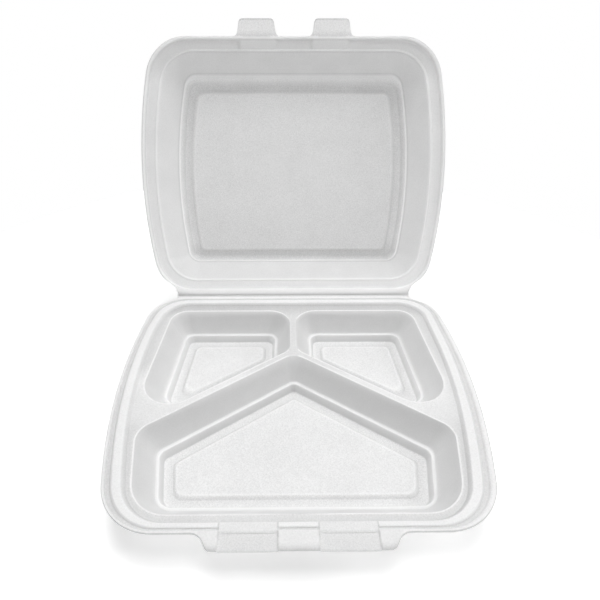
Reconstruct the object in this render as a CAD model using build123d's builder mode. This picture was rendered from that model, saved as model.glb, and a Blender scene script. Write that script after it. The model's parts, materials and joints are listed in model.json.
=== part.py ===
from build123d import *

import os
from dataclasses import dataclass, replace
from math import atan2, cos, degrees, radians, sin, sqrt

os.makedirs("parts", exist_ok=True)

# Foam clamshell container: one thermoformed sheet, a three-bay tray and its lid on a pressed fold.
# Millimetres, +Z up, front towards -Y. The origin lies on the table, in the foot of the wide bay.
# Both dishes are drawn the same way: x across, y away from the fold, levels over the fold's axis.

# Sheet and fold
base_sheet = 2.7            # foam, measured square to the rim
lid_sheet = 1.75            # the lid is drawn thinner than the tray
fold_inset = 22.5           # the fold line is this much shorter than the tray at each end
fold_gap = 0.25             # half the pressed line between the two webs
fold_web = 0.9              # foam left where the fold is pressed
fold_web_length = 2.2
lid_lean = 20.0             # degrees past upright, as the open lid stands
seat_gap = 0.2              # each rim stays this far off the fold's plane
overrun = 5.0               # how far cuts run past what they cut
match_tolerance = 0.1       # how near two places are to count as one
middle_share = 0.5          # places along an edge
edge_shares = (0, middle_share, 1)

# Tray rim, from the trimmed edge inwards
base_half_width = 121.0
base_widest = 76.0          # from the fold to the widest place
base_depth = 197.0          # from the fold to the front edge
base_side_radius = 380.0
base_front_radius = 35.0
base_rear = 2.0
base_rear_radius = 28.0
base_fold_fillet = 2.4
base_front_share = 0.5      # the rim is narrower in front than at the sides
base_rear_share = 0.78
base_corner_share = 0.6
edge_lip_inset = 2.6
groove_outer_inset = 3.6
groove_inner_inset = 5.6
ridge_outer_inset = 6.9
ridge_inner_inset = 12.5
deck_inset = 16.5
groove_drop = 0.9
ridge_rise = 1.6
deck_drop = 0.7
ridge_fillet = 0.9

# Bays: two small ones at the back, a wide five-sided one in front
divider_half_width = 2.4
slant_divider_width = 4.7
large_bay_apex = 70.0       # from the fold to where the wide bay's slanted sides meet
large_bay_side = 52.0       # length of the wide bay's short sides
deck_rear_strip = 3.4       # flat deck left between the bays and the foot of the ridge
deck_front_strip = 1.6
small_bay_rear_strip = 4.1
large_bay_shoulder_strip = 3.0
large_bay_front_strip = 0.6
small_bay_tip_reach = 4.7   # the small bays' outer tips are cut off by their corner radius
bay_upper_drop = 16.0
bay_upper_run = 9.8
bay_ledge = 2.2
bay_lower_drop = 8.0
bay_lower_run = 2.8
bay_floor_band = 4.6
panel_run = 3.0
panel_rise = 2.0
mouth_fillet = 2.0
panel_fillet = 0.9
small_bay_mouth_radii = (16.0, 12.5, 20.0, 10.0)
small_bay_floor_radii = (4.0, 4.0, 6.0, 4.0)
large_bay_mouth_radii = (4.0, 12.0, 23.0, 23.0, 12.0)
large_bay_floor_radii = (3.0, 4.0, 6.0, 6.0, 4.0)

# Front lip with its two latch slots
latch_half_spacing = 26.5
slot_width = 30.0
slit_width = 27.0
slit_gap = 1.2
pad_inset = 14.2            # the pads end halfway down the ridge's inner slope
pad_drop = 0.3
lip_length = 8.5
lip_root_half = 51.5
lip_front_half = 47.0
lip_root_fillet = 8.0
lip_front_fillet = 5.0
lip_panel_drop = 1.0

# Lid rim, from the trimmed edge inwards
lid_side_inset = 2.0        # the lid is trimmed a little inside the tray's edge
lid_front_inset = 0.4
lid_widest = 82.0
lid_side_radius = 380.0
lid_front_radius = 32.0
lid_rear = 4.0
lid_rear_radius = 29.0
lid_fold_fillet = 4.0
lid_front_share = 0.87
lid_rear_share = 0.87
lid_corner_share = 0.5
bead_inset = 1.8
channel_outer_inset = 3.2
channel_inner_inset = 8.6
brim_outer_inset = 9.2
brim_inset = 10.2
channel_drop = 2.2
brim_rise = 0.6
bead_fillet = 0.9
brim_fillet = 0.8

# Lid dish
shoulder_inset = 23.0
shoulder_inner_inset = 24.2
lid_floor_inset = 27.5
lid_panel_foot_inset = 33.6
lid_panel_inset = 36.9
dish_front_radius = 23.0    # the dish's corners are tighter than the rim's
dish_rear_radius = 22.0
shoulder_setback = 1.4      # the dish's front wall leans in more than its other walls
lid_floor_setback = 2.8
lid_panel_setback = 4.0
shoulder_drop = 18.0
lid_floor_drop = 6.0
lid_panel_rise = 2.0
lid_panel_fillet = 1.0
shoulder_fillet = 0.9

# Lock tabs
tab_length = 13.0
tab_root_half = 13.6
tab_tip_half = 9.4
tab_root_fillet = 4.5
tab_tip_fillet = 3.8
ramp_side_gap = 0.6         # a ramp clears the ridge at each side of its slot


# Sizes that follow from those above
fold_half_width = base_half_width - fold_inset
lid_half_width = base_half_width - lid_side_inset
lid_depth = base_depth - lid_front_inset
pad_rear = base_depth - base_front_share * pad_inset
ramp_half_width = slot_width / 2 - ramp_side_gap
small_bay_rear = base_rear + base_rear_share * deck_inset + deck_rear_strip
large_bay_front = base_depth - base_front_share * deck_inset - deck_front_strip
large_bay_shoulder = large_bay_front - large_bay_side


@dataclass
class Rim:
    """A rim's trimmed edge, and how fast its loops close in at the front, back and corners."""

    half_width: float
    widest: float
    side_radius: float
    front: float
    front_radius: float
    rear: float
    rear_radius: float
    front_share: float
    rear_share: float
    corner_share: float


base_rim = Rim(
    base_half_width, base_widest, base_side_radius, base_depth, base_front_radius,
    base_rear, base_rear_radius, base_front_share, base_rear_share, base_corner_share,
)
lid_rim = Rim(
    lid_half_width, lid_widest, lid_side_radius, lid_depth, lid_front_radius,
    lid_rear, lid_rear_radius, lid_front_share, lid_rear_share, lid_corner_share,
)
dish_rim = replace(lid_rim, front_radius=dish_front_radius, rear_radius=dish_rear_radius)
shoulder_rim = replace(dish_rim, front=lid_depth - shoulder_setback)
lid_floor_rim = replace(dish_rim, front=lid_depth - lid_floor_setback)
lid_panel_rim = replace(dish_rim, front=lid_depth - lid_panel_setback)


def corner_half(rim, inset, distance, radius):
    """Half the width between two corner centres whose arcs run on into a rim loop's sides."""
    reach = rim.side_radius - inset - radius
    return rim.half_width - rim.side_radius + sqrt(reach**2 - (distance - rim.widest) ** 2)


# Bay corners, from the foot of the ridge inwards
small_bay_rear_half = corner_half(base_rim, deck_inset, small_bay_rear, 0) - small_bay_rear_strip
small_bay_tip_half = corner_half(base_rim, deck_inset, large_bay_shoulder, 0) + small_bay_tip_reach
large_bay_shoulder_half = corner_half(base_rim, deck_inset, large_bay_shoulder, 0) - large_bay_shoulder_strip
large_bay_front_half = corner_half(base_rim, deck_inset, large_bay_front, 0) - large_bay_front_strip
slope = (large_bay_shoulder - large_bay_apex) / large_bay_shoulder_half
slant = atan2(slope, 1)
small_bay_apex = large_bay_apex - slant_divider_width / cos(slant)
lip_root_run = corner_half(base_rim, 0, base_depth - base_front_radius, base_front_radius) - lip_root_half

# Insets of a bay's loops from its mouth
ledge_inset = bay_upper_run + bay_ledge
floor_inset = ledge_inset + bay_lower_run
panel_foot_inset = floor_inset + bay_floor_band
panel_inset = panel_foot_inset + panel_run

# Levels over the fold's axis
lip_level = -seat_gap
groove_level = lip_level - groove_drop
ridge_level = lip_level + ridge_rise
deck_level = lip_level - deck_drop
ledge_level = deck_level - bay_upper_drop
floor_level = ledge_level - bay_lower_drop
panel_level = floor_level + panel_rise
pad_level = lip_level - pad_drop
channel_level = lip_level - channel_drop
brim_level = channel_level + brim_rise
shoulder_level = brim_level - shoulder_drop
lid_floor_level = shoulder_level - lid_floor_drop
lid_panel_level = lid_floor_level + lid_panel_rise

# The fold stands as high as the tray is deep, and behind the tip of the wide bay's foot
fold_height = base_sheet - floor_level
fold_back = large_bay_apex + (floor_inset + bay_floor_band / 2) / cos(slant)
lean = radians(lid_lean)
base_plane = Plane(origin=(0, fold_back, fold_height), x_dir=(-1, 0, 0), z_dir=(0, 0, 1))
lid_plane = Plane(origin=(0, fold_back, fold_height), x_dir=(1, 0, 0), z_dir=(0, -cos(lean), sin(lean)))


def rim_edges(rim, inset):
    """One closed loop of a rim: two side arcs, four corner arcs and two straight ends."""
    front = rim.front - rim.front_share * inset
    rear = rim.rear + rim.rear_share * inset
    side_r = rim.side_radius - inset
    front_r = rim.front_radius - rim.corner_share * inset
    rear_r = rim.rear_radius - rim.corner_share * inset
    side_x = rim.half_width - rim.side_radius
    front_y = front - front_r
    rear_y = rear + rear_r
    front_x = corner_half(rim, inset, front_y, front_r)
    rear_x = corner_half(rim, inset, rear_y, rear_r)
    front_turn = degrees(atan2(front_y - rim.widest, front_x - side_x))
    rear_turn = degrees(atan2(rear_y - rim.widest, rear_x - side_x))
    with BuildLine() as loop:
        Line((-rear_x, rear), (rear_x, rear))
        rear_arc = CenterArc((rear_x, rear_y), rear_r, -90, 90 + rear_turn)
        side_arc = CenterArc((side_x, rim.widest), side_r, rear_turn, front_turn - rear_turn)
        front_arc = CenterArc((front_x, front_y), front_r, front_turn, 90 - front_turn)
        Line((front_x, front), (-front_x, front))
        mirror([rear_arc, side_arc, front_arc], about=Plane.YZ)
    return loop.edges()


def rim_face(plane, rim, inset, level):
    """The face inside one loop of a rim."""
    with BuildSketch(plane.offset(level)) as face:
        make_face(rim_edges(rim, inset))
    return face.sketch


def inset_corners(corners, inset):
    """Corners of a convex polygon, listed anticlockwise, with every side moved inwards."""
    moved = []
    count = len(corners)
    for place in range(count):
        before, here, after = (Vector(*corners[(place + step) % count]) for step in (-1, 0, 1))
        into = (here - before).normalized()
        out = (after - here).normalized()
        corner_sine = into.X * out.Y - into.Y * out.X
        moved.append(here + (out - into) * (inset / corner_sine))
    return moved


def bay_face(plane, corners, radii, inset, level):
    """The face inside one loop of a bay, a polygon with its own radius at each corner."""
    with BuildSketch(plane.offset(level)) as face:
        with BuildLine():
            FilletPolyline(*inset_corners(corners, inset), radius=radii, close=True)
        make_face()
    return face.sketch


def blend_radii(mouth, floor, share):
    """Corner radii between a bay's mouth and its floor."""
    return [near + (far - near) * share for near, far in zip(mouth, floor)]


def level_edges(part, plane, level):
    """The edges of a part that lie in one level of its plane."""
    return part.edges().filter_by(
        lambda edge: all(
            abs(plane.to_local_coords(edge @ share).Z - level) < match_tolerance for share in edge_shares
        )
    )


def loop_edges(part, loop):
    """The edges of a part that run along the edges of a loop."""
    return part.edges().filter_by(
        lambda edge: any((edge @ middle_share - piece @ middle_share).length < match_tolerance for piece in loop)
    )


# Bay outlines at the mouth
large_bay = [
    (0, large_bay_apex),
    (large_bay_shoulder_half, large_bay_apex + slope * large_bay_shoulder_half),
    (large_bay_front_half, large_bay_front),
    (-large_bay_front_half, large_bay_front),
    (-large_bay_shoulder_half, large_bay_apex + slope * large_bay_shoulder_half),
]
right_bay = [
    (divider_half_width, small_bay_rear),
    (small_bay_rear_half, small_bay_rear),
    (small_bay_tip_half, small_bay_apex + slope * small_bay_tip_half),
    (divider_half_width, small_bay_apex + slope * divider_half_width),
]
left_bay = [(-x, y) for x, y in reversed(right_bay)]
bays = [
    (large_bay, large_bay_mouth_radii, large_bay_floor_radii),
    (right_bay, small_bay_mouth_radii, small_bay_floor_radii),
    (left_bay, small_bay_mouth_radii[::-1], small_bay_floor_radii[::-1]),
]

# Ramp from the lid's channel up to the root of a tab
ramp_front = lid_depth - lid_front_share * bead_inset / 2
ramp_rear = lid_depth - lid_front_share * channel_inner_inset
ramp_corners = [
    (ramp_front, lip_level),
    (ramp_rear, channel_level),
    (ramp_rear, channel_level - lid_sheet / 2),
    (ramp_front, channel_level - lid_sheet / 2),
]


def latch_places(distance):
    """The two latch places, side by side at one distance from the fold."""
    return (-latch_half_spacing, distance), (latch_half_spacing, distance)


def lid_profile(distance, level):
    """A place in the lid's lengthwise section, as seen from the side."""
    place = lid_plane.from_local_coords((0, distance, level))
    return place.Y, place.Z


# Tray form: everything under the tray's upper face
with BuildPart() as base_form:
    with BuildSketch(base_plane.offset(lip_level)):
        with Locations((0, base_depth / 2)):
            Rectangle(base_half_width * 2 + overrun * 4, base_depth + overrun * 6)
    extrude(amount=floor_level - lip_level - base_sheet * 2)
    loft(
        [
            rim_face(base_plane, base_rim, edge_lip_inset, lip_level),
            rim_face(base_plane, base_rim, groove_outer_inset, groove_level),
        ],
        ruled=True,
        mode=Mode.SUBTRACT,
    )
    loft(
        [
            rim_face(base_plane, base_rim, groove_inner_inset, groove_level),
            rim_face(base_plane, base_rim, ridge_outer_inset, ridge_level),
        ],
        ruled=True,
    )
    loft(
        [
            rim_face(base_plane, base_rim, ridge_inner_inset, ridge_level),
            rim_face(base_plane, base_rim, deck_inset, deck_level),
        ],
        ruled=True,
        mode=Mode.SUBTRACT,
    )
    for corners, mouth_radii, floor_radii in bays:
        ledge_radii = blend_radii(mouth_radii, floor_radii, bay_upper_run / floor_inset)
        loft(
            [
                bay_face(base_plane, corners, mouth_radii, 0, deck_level),
                bay_face(base_plane, corners, ledge_radii, bay_upper_run, ledge_level),
            ],
            ruled=True,
            mode=Mode.SUBTRACT,
        )
        loft(
            [
                bay_face(base_plane, corners, ledge_radii, ledge_inset, ledge_level),
                bay_face(base_plane, corners, floor_radii, floor_inset, floor_level),
            ],
            ruled=True,
            mode=Mode.SUBTRACT,
        )
        loft(
            [
                bay_face(base_plane, corners, floor_radii, panel_foot_inset, floor_level),
                bay_face(base_plane, corners, floor_radii, panel_inset, panel_level),
            ],
            ruled=True,
        )

    # Flat pads break the ridge behind the slots, and shallow panels lie in front of them
    with BuildSketch(base_plane.offset(pad_level)):
        with Locations(*latch_places((pad_rear + base_depth) / 2)):
            Rectangle(slot_width, base_depth - pad_rear)
    extrude(amount=ridge_rise + overrun, mode=Mode.SUBTRACT)
    with BuildSketch(base_plane.offset(lip_level - lip_panel_drop)):
        with Locations(*latch_places(base_depth + lip_length / 2 + overrun)):
            Rectangle(slot_width, lip_length + overrun * 2)
    extrude(amount=lip_panel_drop + overrun, mode=Mode.SUBTRACT)

# The tray is the skin of that form, trimmed to its outline. Its upper edges are rounded.
with BuildPart() as base_tray:
    add(base_form.part)
    fillet(level_edges(base_tray.part, base_plane, ridge_level), ridge_fillet)
    fillet(level_edges(base_tray.part, base_plane, panel_level), panel_fillet)
    for corners, mouth_radii, _ in bays:
        mouth = bay_face(base_plane, corners, mouth_radii, 0, deck_level)
        fillet(loop_edges(base_tray.part, mouth.edges()), mouth_fillet)
    add(base_form.part.moved(Location((0, 0, -base_sheet))), mode=Mode.SUBTRACT)
    with BuildSketch(base_plane.offset(floor_level - base_sheet * 2)) as base_trim:
        make_face(rim_edges(base_rim, 0))
        with Locations((0, (fold_gap + base_rear_radius) / 2)):
            Rectangle(fold_half_width * 2, base_rear_radius - fold_gap)
        notches = base_trim.vertices().filter_by(
            lambda corner: abs(abs(corner.X) - fold_half_width) < match_tolerance and corner.Y > base_rear
        )
        fillet(notches, base_fold_fillet)
        with BuildLine():
            Polyline(
                (-lip_root_half, base_depth - overrun),
                (-lip_root_half, base_depth),
                (-lip_front_half, base_depth + lip_length),
                (lip_front_half, base_depth + lip_length),
                (lip_root_half, base_depth),
                (lip_root_half, base_depth - overrun),
                close=True,
            )
        make_face()
        ends = base_trim.vertices().group_by(Axis.Y)[-1]
        fillet(ends, lip_front_fillet)
        roots = base_trim.vertices().filter_by(
            lambda corner: abs(corner.Y - base_depth) < match_tolerance
            and abs(abs(corner.X) - lip_root_half) < match_tolerance
        )
        fillet(roots, min(lip_root_fillet, lip_root_run))
    extrude(amount=fold_height + ridge_level + overrun * 2, mode=Mode.INTERSECT)
    # The foam is pressed thin along the fold
    with BuildSketch(base_plane.offset(lip_level - fold_web)):
        with Locations((0, fold_web_length / 2)):
            Rectangle(fold_half_width * 2 + overrun, fold_web_length)
    extrude(amount=-overrun, mode=Mode.SUBTRACT)
    # Slits take the lock tabs
    with BuildSketch(base_plane.offset(pad_level)):
        with Locations(*latch_places(base_depth - slit_gap / 2)):
            Rectangle(slit_width, slit_gap)
    extrude(amount=overrun, both=True, mode=Mode.SUBTRACT)

base_tray.part.label = "base_tray"
export_step(base_tray.part, "parts/base_tray.step")

# Lid form: everything behind the lid's inner face
bead_ring = (lid_rim, bead_inset, lip_level)
brim_ring = (lid_rim, brim_inset, brim_level)
shoulder_ring = (shoulder_rim, shoulder_inner_inset, shoulder_level)
with BuildPart() as lid_form:
    with BuildSketch(lid_plane.offset(lip_level)):
        with Locations((0, lid_depth / 2)):
            Rectangle(lid_half_width * 2 + overrun * 4, lid_depth + (tab_length + overrun) * 2)
    extrude(amount=lid_floor_level - lip_level - lid_sheet * 2)
    for near, far, mode in (
        (bead_ring, (lid_rim, channel_outer_inset, channel_level), Mode.SUBTRACT),
        ((lid_rim, channel_inner_inset, channel_level), (lid_rim, brim_outer_inset, brim_level), Mode.ADD),
        (brim_ring, (shoulder_rim, shoulder_inset, shoulder_level), Mode.SUBTRACT),
        (shoulder_ring, (lid_floor_rim, lid_floor_inset, lid_floor_level), Mode.SUBTRACT),
        (
            (lid_panel_rim, lid_panel_foot_inset, lid_floor_level),
            (lid_panel_rim, lid_panel_inset, lid_panel_level),
            Mode.ADD,
        ),
    ):
        loft([rim_face(lid_plane, *near), rim_face(lid_plane, *far)], ruled=True, mode=mode)

# Ramps that rise from the lid's channel to the tabs
with BuildPart() as ramps:
    with BuildSketch(Plane.YZ) as ramp:
        with BuildLine():
            Polyline(*[lid_profile(y, level) for y, level in ramp_corners], close=True)
        make_face()
    for place, _ in latch_places(0):
        extrude(
            ramp.sketch.moved(Location((place, 0, 0))), amount=ramp_half_width, dir=(1, 0, 0), both=True
        )

with BuildPart() as lid:
    add(lid_form.part)
    fillet(level_edges(lid.part, lid_plane, lid_panel_level), lid_panel_fillet)
    for ring, ring_fillet in (
        (bead_ring, bead_fillet), (brim_ring, brim_fillet), (shoulder_ring, shoulder_fillet)
    ):
        fillet(loop_edges(lid.part, rim_face(lid_plane, *ring).edges()), ring_fillet)
    add(ramps.part)
    for hidden in (lid_form.part, ramps.part):
        add(hidden.moved(Location(lid_plane.z_dir * -lid_sheet)), mode=Mode.SUBTRACT)
    with BuildSketch(lid_plane.offset(lid_floor_level - lid_sheet * 2)) as lid_trim:
        make_face(rim_edges(lid_rim, 0))
        with Locations((0, (fold_gap + lid_rear_radius) / 2)):
            Rectangle(fold_half_width * 2, lid_rear_radius - fold_gap)
        notches = lid_trim.vertices().filter_by(
            lambda corner: abs(abs(corner.X) - fold_half_width) < match_tolerance and corner.Y > lid_rear
        )
        fillet(notches, lid_fold_fillet)
        for place, _ in latch_places(0):
            with BuildLine():
                Polyline(
                    (place - tab_root_half, lid_depth - overrun),
                    (place - tab_root_half, lid_depth),
                    (place - tab_tip_half, lid_depth + tab_length),
                    (place + tab_tip_half, lid_depth + tab_length),
                    (place + tab_root_half, lid_depth),
                    (place + tab_root_half, lid_depth - overrun),
                    close=True,
                )
            make_face()
        fillet(lid_trim.vertices().group_by(Axis.Y)[-1], tab_tip_fillet)
        roots = lid_trim.vertices().filter_by(
            lambda corner: abs(corner.Y - lid_depth) < match_tolerance
            and abs(abs(abs(corner.X) - latch_half_spacing) - tab_root_half) < match_tolerance
        )
        fillet(roots, tab_root_fillet)
    extrude(amount=lip_level - lid_floor_level + lid_sheet * 2 + overrun, mode=Mode.INTERSECT)
    with BuildSketch(lid_plane.offset(lip_level - fold_web)):
        with Locations((0, fold_web_length / 2)):
            Rectangle(fold_half_width * 2 + overrun, fold_web_length)
    extrude(amount=-overrun, mode=Mode.SUBTRACT)

lid.part.label = "lid"
export_step(lid.part, "parts/lid.step")
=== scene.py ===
import json
from math import atan2, cos, pi, radians, sin, sqrt, tan

import bmesh
import bpy
from bpy.props import FloatProperty, FloatVectorProperty, PointerProperty
from mathutils import Matrix, Vector
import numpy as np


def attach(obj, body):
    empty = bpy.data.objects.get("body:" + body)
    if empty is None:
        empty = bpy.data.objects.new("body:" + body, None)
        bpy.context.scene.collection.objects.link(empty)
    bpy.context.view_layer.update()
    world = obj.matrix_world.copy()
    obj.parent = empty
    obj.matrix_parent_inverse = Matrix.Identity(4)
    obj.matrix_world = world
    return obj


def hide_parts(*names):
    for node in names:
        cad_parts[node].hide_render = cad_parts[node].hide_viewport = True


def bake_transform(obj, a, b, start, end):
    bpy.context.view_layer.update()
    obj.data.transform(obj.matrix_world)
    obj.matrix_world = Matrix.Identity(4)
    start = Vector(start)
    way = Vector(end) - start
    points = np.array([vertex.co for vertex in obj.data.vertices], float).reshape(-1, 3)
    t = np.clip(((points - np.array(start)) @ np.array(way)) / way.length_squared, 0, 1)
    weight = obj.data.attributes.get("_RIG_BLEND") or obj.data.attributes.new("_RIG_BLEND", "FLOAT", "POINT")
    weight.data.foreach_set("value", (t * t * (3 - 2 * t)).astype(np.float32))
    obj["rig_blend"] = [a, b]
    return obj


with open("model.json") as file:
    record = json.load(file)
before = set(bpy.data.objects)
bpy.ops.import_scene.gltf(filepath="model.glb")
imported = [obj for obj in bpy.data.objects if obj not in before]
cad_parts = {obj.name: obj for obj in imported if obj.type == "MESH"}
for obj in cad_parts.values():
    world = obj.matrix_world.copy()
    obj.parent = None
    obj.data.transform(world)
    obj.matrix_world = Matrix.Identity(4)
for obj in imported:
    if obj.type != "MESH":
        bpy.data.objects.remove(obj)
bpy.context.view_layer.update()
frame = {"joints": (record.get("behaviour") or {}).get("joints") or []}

bl_info = {
    "name": "Foam Meal Box",
    "version": (1, 0, 0),
    "blender": (4, 5, 0),
    "location": "View3D > Sidebar > Meal Box",
    "description": "Builds a moulded-foam meal box with a bayed tray, a hinged lid and its studio",
    "category": "Object",
}

HINGE = Vector(frame["joints"][0]["pos_m"])
MM = 0.001

# How finely the loops are drawn
CORNER_STEPS = 3
REAR_COLUMNS = 10
REAR_ARC_COLUMNS = 16
SIDE_COLUMNS = 26
FRONT_ARC_COLUMNS = 16
FAN_COLUMNS = 14
BAY_CORNER_STEPS = 10
BAY_SIDE_STEPS = 6
TAB_COLUMNS = 6
SLIT_COLUMNS = 10
MIDDLE_COLUMNS = 5
NOTCH_LEAD = 2
TRAY_NOTCH_COLUMNS = 8
LID_NOTCH_COLUMNS = 10
FOLD_STEPS = 6
SLOT_STEPS = (1.0, 0.6, 0.2, -0.2)
CUT_LIMIT_SHARE = 0.48
EDGE_SHARES = (0.1, 0.118, 0.22, 0.4, 0.6, 0.76, 0.87, 0.94, 0.98, 1.0)
SMOOTH_ANGLE = radians(38)

# Measures that the tray and the lid share
FRONT_START = 66 * MM
LIP_LEVEL = -0.2 * MM
FOLD_END_RADIUS = 0.4 * MM

# How the ridge and groove flatten along the tray's front
FRONT_RELIEF = 0.55
FRONT_FLATTER = (-16, -5)
RIDGE_FOOT = 13.5 * MM

# Corner radii of the bays in millimetres, at the mouth and at the floor
WIDE_RADII = ((11, 12, 23, 23, 12), (3, 4, 6, 6, 4))
SMALL_RADII = ((16, 12.5, 20, 10), (4, 4, 6, 4))
RADIUS_RUN = 14.8 * MM

# Spans in millimetres over which the skin's painted light and shade or the trim's shift fades
DECK_LIGHTER = (78, 95)
DECK_DARKER = (122, 140)
DECK_REAR = (18, 30)
BAY_WALL_FRONT = (-14, -8)
BAY_WALL_REAR = (9, 13)
BAY_FLOOR = (12, 14)
TRIM_RIM = (0, 4)
TRIM_REAR = (20, 50)
TRIM_LIP = (42, 50)
LID_RING_REAR = (30, 45)
LID_WALL_REAR = (20, 35)
LID_WALL_FRONT = (160, 175)
LID_BRIM_FRONT = (165, 182)
RAMP_SIDE = (-7, 7)
TAB_ROOT = (0, 3)

# The lid's panel is painted lighter towards its front and darker towards its rear: the painted light's rise
# per metre, and where it is even
PANEL_PAINTED_LIGHT_RISE = 11
PANEL_PAINTED_LIGHT_EVEN = 100 * MM

# How strongly the cells, specks and clouds show in the foam, and how strongly the painted light and shade
# shows
CELL_RELIEF = 0.55
LEAST_GRAIN = 0.2
SPECK_DENSITY = 1.2
SPECK_TONE = 0.55
CLOUD_DENSITY = 0.045
CLOUD_TONE = 0.11
NOISE_MIDDLE = 0.5
# How far the painted light and shade lightens and darkens the foam's colour
PAINTED_SHADE_STRENGTH = 0.15
GRAIN_GLOSS = 0.22
BUMP_STRENGTH = 0.35
BUMP_DEPTH = 0.15 * MM

# Painted light and shade across each section, with painted highlights on rounded edges and ridges and
# painted shade in grooves, recesses and on walls: (inset in millimetres, painted shade, lighter above 0 and
# darker below)
RIM_PAINTED_SHADE = (
    (0, -1.6), (0.3, -1.0), (0.6, -0.2), (1.0, 0.8), (1.9, 1.0), (2.6, 0.0), (3.2, -0.8), (5.4, -0.8),
    (6.4, 0.6), (7.4, 0.9), (8.6, 0.6), (10.6, 0.6), (11.6, 1.0), (12.8, -0.3), (14, -1.0), (17, -1.0),
)
BAY_PAINTED_SHADE = (
    (-1, -0.5), (-0.48, 1.0), (-0.2, 1.0), (0, 0.9), (0.12, 0.3), (0.25, -0.3), (1.5, -0.5), (8.6, -0.4),
    (10.6, 0.1), (11.5, 0.8), (12.1, 0.4), (12.8, -0.6), (13.6, -0.9), (14.2, 0.2), (15.5, -0.1),
    (18.6, -0.1), (19.6, -0.9), (21.6, 0.6), (23, -0.1),
)
LID_PAINTED_SHADE = (
    (0, -1.8), (0.3, -1.3), (0.6, -0.5), (1.0, 0.5), (1.6, 1.0), (2.1, 0.9), (2.7, -0.6), (3.6, 0.1),
    (9.4, 0.4), (10.2, 0.2), (10.9, 0.9), (12.4, -0.1), (23.8, -0.2), (24.7, -1.0), (25.5, 0.9),
    (26.3, 0.3), (27.3, -0.5), (28.4, -0.9), (29.6, -0.7), (33.8, -0.8), (34.9, -0.4), (35.6, 0.4),
    (36.8, 0.4), (38, -0.1),
)

# Lamps: name, place, width and height in metres, power in watts
LAMPS = (
    ("overhead", (0, 0.05, 1.2), (0.6, 0.6), 4.05),
    ("behind", (0, 0.5, 1.12), (0.7, 0.7), 4.4),
    ("right side", (0.9, 0, 0.7), (0.5, 0.5), 3.4),
    ("left side", (-0.9, 0, 0.7), (0.5, 0.5), 1.65),
    ("low front", (0, -1.2, 0.055), (0.8, 0.1), 4.3),
    ("front", (0, -0.9, 0.8), (0.5, 0.5), 1.55),
)
LAMP_AIM = Vector((0, 0.02, 0.05))
FLOOR_RADIUS = 0.42
FLOOR_SEGMENTS = 96
FLOOR_DROP = 0.1 * MM
SENSOR_WIDTH = 36


def length(label, millimetres, description):
    """A length in metres that a user can change."""
    return FloatProperty(
        name=label, default=millimetres * MM, description=description, unit="LENGTH", precision=5
    )


def share(label, value, description):
    """A plain factor that a user can change."""
    return FloatProperty(
        name=label, default=value, description=description, min=0, max=2, subtype="FACTOR"
    )


def bright(label, value, description):
    """A brightness that a user can change."""
    return FloatProperty(name=label, default=value, description=description, min=0, max=4)


def slant(label, value, description):
    """An angle in radians that a user can change."""
    return FloatProperty(name=label, default=value, description=description, subtype="ANGLE")


def paint(label, value, description):
    """A colour that a user can change."""
    return FloatVectorProperty(
        name=label, default=value, description=description, subtype="COLOR", min=0, max=1, size=3
    )


class TraySizes(bpy.types.PropertyGroup):
    """Sizes of the tray, seen square to its rim"""

    sheet: length("Sheet", 2.7, "Foam thickness of the tray")
    half_width: length("Half width", 121, "Half the tray's width at its widest place")
    widest: length("Widest place", 76, "From the fold to the widest place")
    depth: length("Depth", 197, "From the fold to the front edge")
    side_radius: length("Side radius", 380, "Radius of the long sides")
    front_radius: length("Front corner radius", 35, "Radius of the two front corners")
    rear: length("Rear edge", 2, "From the fold to the rear edge of the rim")
    rear_radius: length("Rear corner radius", 28, "Radius of the two rear corners")
    front_share: share("Front share", 0.38, "How much narrower the rim is in front")
    rear_share: share("Rear share", 0.78, "How much narrower the rim is at the back")
    corner_share: share("Corner share", 0.6, "How fast the corner radius falls inwards")
    fold_half: length("Fold half length", 98.5, "Half the length of the fold line")
    fold_fillet: length("Fold notch radius", 2.4, "Radius of the notch at each end of the fold")
    edge_lip: length("Edge lip", 2.6, "Width of the flat outer lip")
    edge_radius: length("Edge radius", 0.9, "Radius of the trimmed edge")
    ridge_level: length("Ridge level", 1.4, "Height of the ridge over the fold")
    deck_level: length("Deck level", -0.9, "Height of the deck between the bays")
    deck_inset: length("Deck inset", 16.5, "From the edge to the line the bays are set out from")
    pad_front: length("Pad front level", -0.4, "Height of the pads at the slits")
    pad_rear: length("Pad rear level", 0.6, "Height of the pads at their rear edge")
    pad_depth: length("Pad depth", 5.0, "From the slit to the rear edge of a pad")
    bay_inset: length("Bay inset", 9.85, "From the front edge to the wide bay's mouth")
    panel_level: length("Lip panel level", -1.2, "Height of the shallow panels on the lip")
    latch_half: length("Latch spacing", 25.5, "From the centre line to the middle of a latch")
    slot_half: length("Slot half width", 14.7, "Half the width of a pad and its panel")
    slit_half: length("Slit half width", 13.2, "Half the width of a slit")
    lip_length: length("Lip length", 8.5, "How far the lip stands out")
    lip_root_half: length("Lip root", 51.5, "Half the lip's width at its root")
    lip_front_half: length("Lip front", 47, "Half the lip's width in front")
    lip_root_fillet: length("Lip root radius", 8, "Radius where the lip leaves the rim")
    lip_front_fillet: length("Lip front radius", 5, "Radius of the lip's front corners")
    large_apex: length("Wide bay apex", 69, "From the fold to the tip of the wide bay")
    large_side: length("Wide bay side", 52, "Length of the wide bay's short sides")
    trim_shift: length("Trim shift", 1.2, "How far the moulded form lies off centre in its trimmed edge")
    divider: length("Divider", 2.4, "Half the wall between the small bays")
    slant_divider: length("Slanted divider", 4.7, "Wall between the wide bay and the small ones")


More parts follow.
